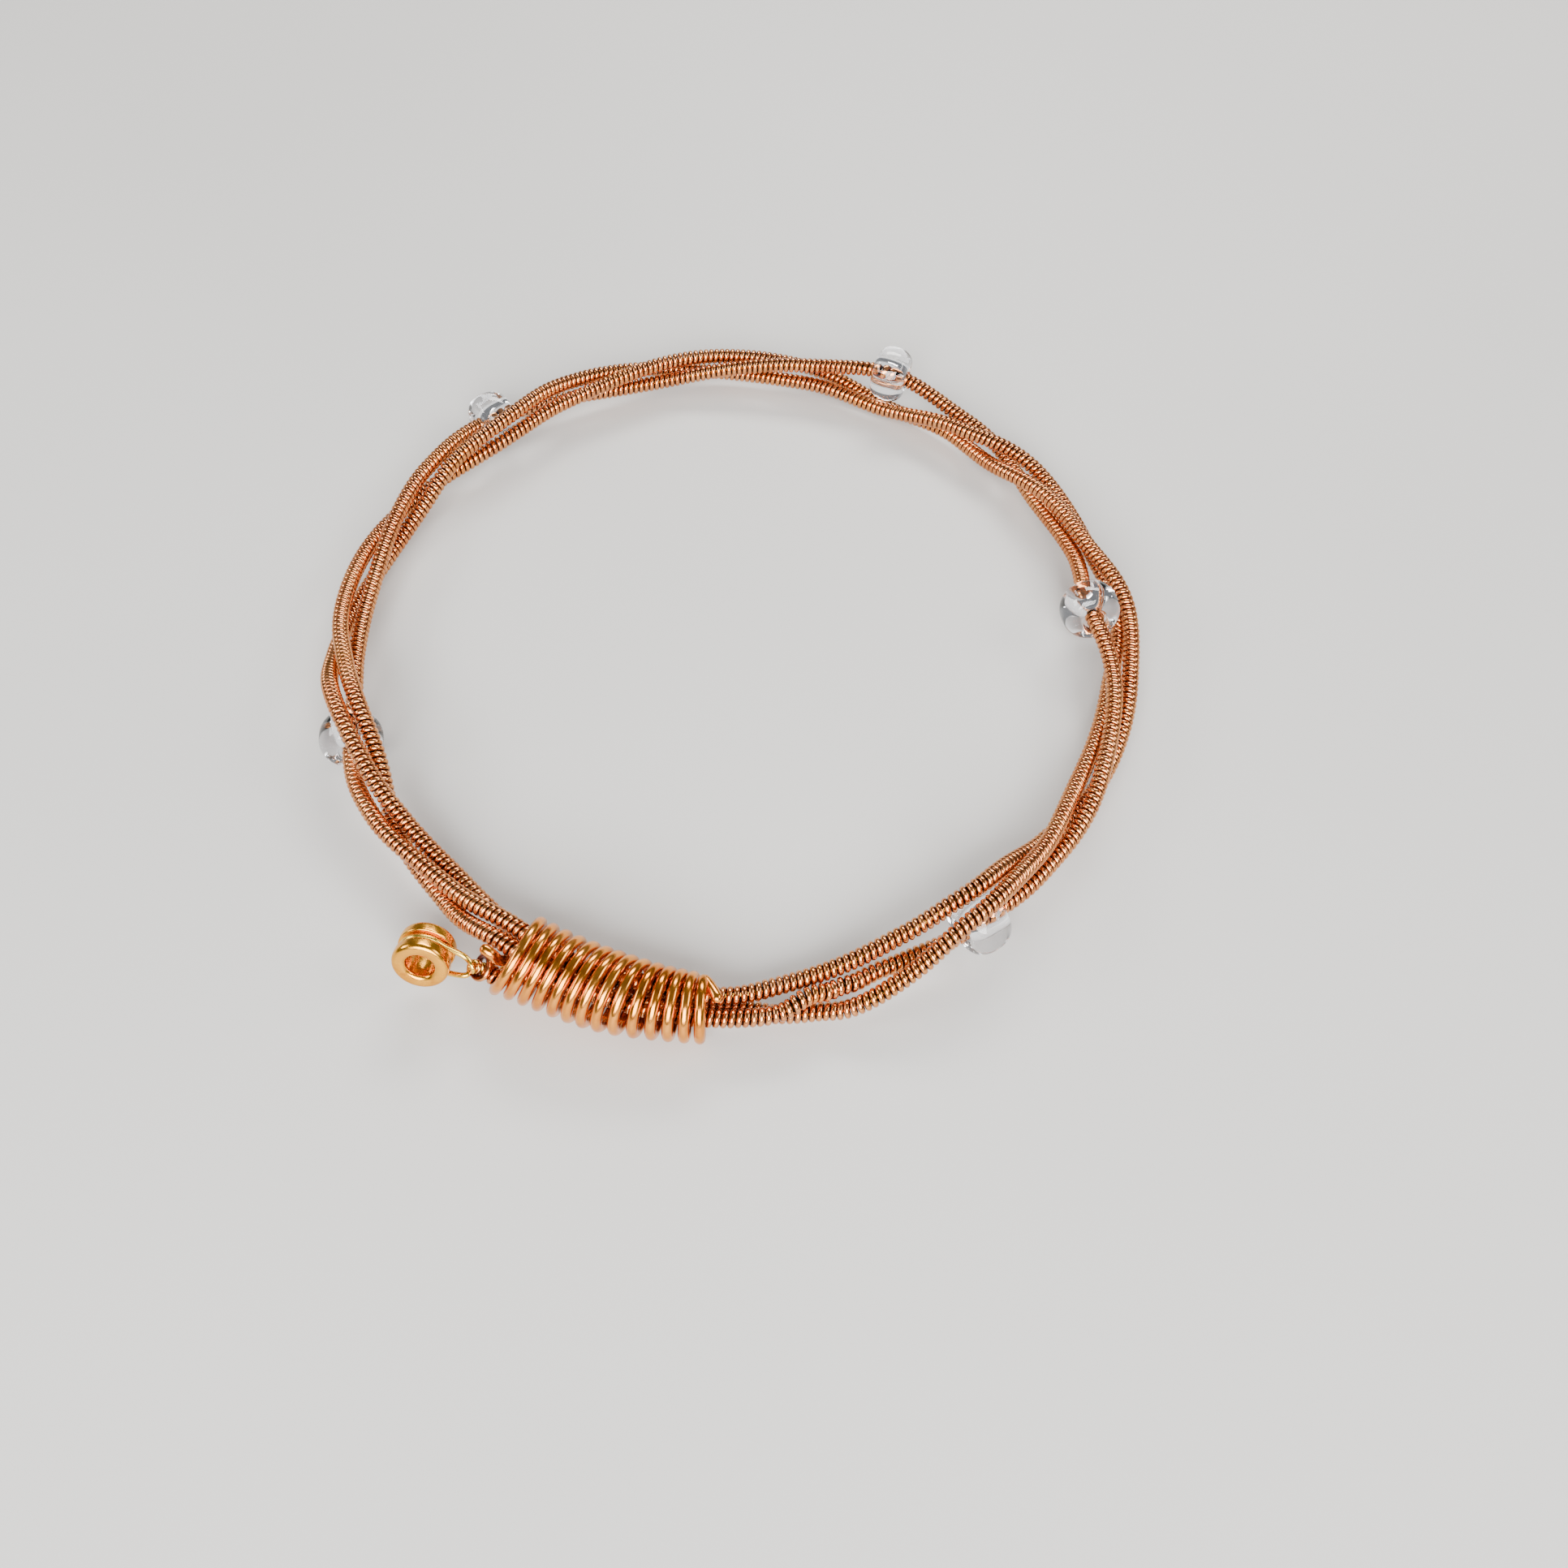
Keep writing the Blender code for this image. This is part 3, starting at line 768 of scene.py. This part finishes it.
def build_binding(material):
    """The binding wire, with rounded tips and a rough cut end."""
    wire = binding_path()
    radius = BINDING_DIAMETER / 2
    run = run_along(wire)
    left = np.minimum(run, run[-1] - run) / radius
    ends = np.sqrt(np.clip(1 - (1 - np.clip(left, 0, 1)) ** 2, TIP_SHARE, 1))
    cut = np.clip(1 - (run[-1] - run) / CUT_LENGTH, 0, 1)
    ends = ends * (1 + CUT_ROUGHNESS * cut * np.sin(run * CUT_WAVES))
    piece = wire_mesh("wrapped_binding", wire, carried_sides(wire), radius, BINDING_SIDES,
                      material, ends=ends)
    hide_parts("binding_wire")


def turned(name, profile, centre, way, sides, material, body):
    """Closed profile of (along, radius) pairs turned about an axis."""
    way = unit(np.array(way, float))
    across = unit(np.cross(way, (0.0, 0.0, 1.0)))
    third = np.cross(way, across)
    turn = np.linspace(0, 2 * np.pi, sides, endpoint=False)
    ring = np.cos(turn)[:, None] * across + np.sin(turn)[:, None] * third
    vertices = []
    for length, radius in profile:
        vertices.append(np.array(centre) + length * way + radius * ring)
    faces = ring_faces(len(profile), sides)
    last = (len(profile) - 1) * sides
    for i in range(sides):
        j = (i + 1) % sides
        faces.append([last + i, last + j, j, i])
    faces = [face[::-1] for face in faces]
    return add_mesh(name, np.concatenate(vertices), faces, material, body)


def build_ball_end(material):
    """Spool with a groove for the loop, eased edges and a flared bore."""
    half = BALL_LENGTH / 2
    rim = BALL_DIAMETER / 2
    hole = BALL_BORE / 2
    neck = GROOVE_DIAMETER / 2
    slot = GROOVE_WIDTH / 2
    profile = rounded([
        (half, hole, BALL_MOUTH), (half, rim, BALL_EDGE), (slot, rim, GROOVE_EDGE),
        (slot, neck, 0), (-slot, neck, 0), (-slot, rim, GROOVE_EDGE),
        (-half, rim, BALL_EDGE), (-half, hole, BALL_MOUTH),
    ], BALL_EDGE_STEPS)
    piece = turned("turned_ball_end", profile, BALL_CENTRE, ball_way(), BALL_SIDES,
                   material, "ball_end")
    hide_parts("ball_end")


def bead_profile(rim, half):
    """Outline of a bead from face to face, with the bore and its eased lips."""
    bulge = rim - BEAD_HOLE - BEAD_FACE
    outline = []
    for a in np.linspace(-1, 1, OUTLINE_POINTS) * np.pi / 2:
        flat = np.sign(np.sin(a)) * abs(np.sin(a)) ** FACE_FLATNESS
        outline.append((half * flat, BEAD_HOLE + BEAD_FACE + bulge * np.cos(a) ** RIM_FLATNESS))
    lip = BEAD_HOLE + BEAD_LIP
    bore = [(half * LIP_PLACE, lip), (half * BORE_PLACE, BEAD_HOLE),
            (-half * BORE_PLACE, BEAD_HOLE), (-half * LIP_PLACE, lip)]
    return (outline + bore)[::-1]


def build_beads(material):
    """Glass beads, each on the threaded turn and along it."""
    for number, (angle, (rim, half)) in enumerate(zip(BEAD_ANGLES, BEAD_SIZES), 1):
        before, centre, after = string_points(
            np.array((angle - 1.0, angle, angle + 1.0)) + THREADED_TURN)
        piece = turned(f"glass_bead_{number}", bead_profile(rim, half), centre, after - before,
                       BEAD_SIDES, material, f"bead_{number}")
        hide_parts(f"bead_{number}")


def dress_core(material):
    """Metal for the core wire, which keeps its CAD shape inside the winding."""
    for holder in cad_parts["core_wire"].material_slots:
        holder.material = material


add_camera()
for softbox in SOFTBOXES:
    add_softbox(*softbox)
add_world()
add_floor()

WOUND = winding_material()
GILT_WIRE = wire_material("core_gilt", (0.95, 0.62, 0.1), (0.85, 0.46, 0.05), (0.42, 0.18, 0.03),
                          0.18, 0.32)
BINDING = wire_material("binding_bronze_drawn", (0.84, 0.34, 0.06), (0.7, 0.23, 0.025),
                        (0.42, 0.12, 0.02), 0.15, 0.27)
BALL = wire_material("ball_brass_turned", (0.86, 0.4, 0.045), (0.7, 0.26, 0.015), (0.3, 0.08, 0.006),
                     0.16, 0.3, 0.3)
GLASS = glass_material("bead_glass_clear", (0.93, 0.95, 1.0))

LEAD = lead_path()
build_windings(WOUND)
build_lead(LEAD, WOUND)
build_loop(LEAD, GILT_WIRE)
build_binding(BINDING)
build_ball_end(BALL)
build_beads(GLASS)
dress_core(GILT_WIRE)
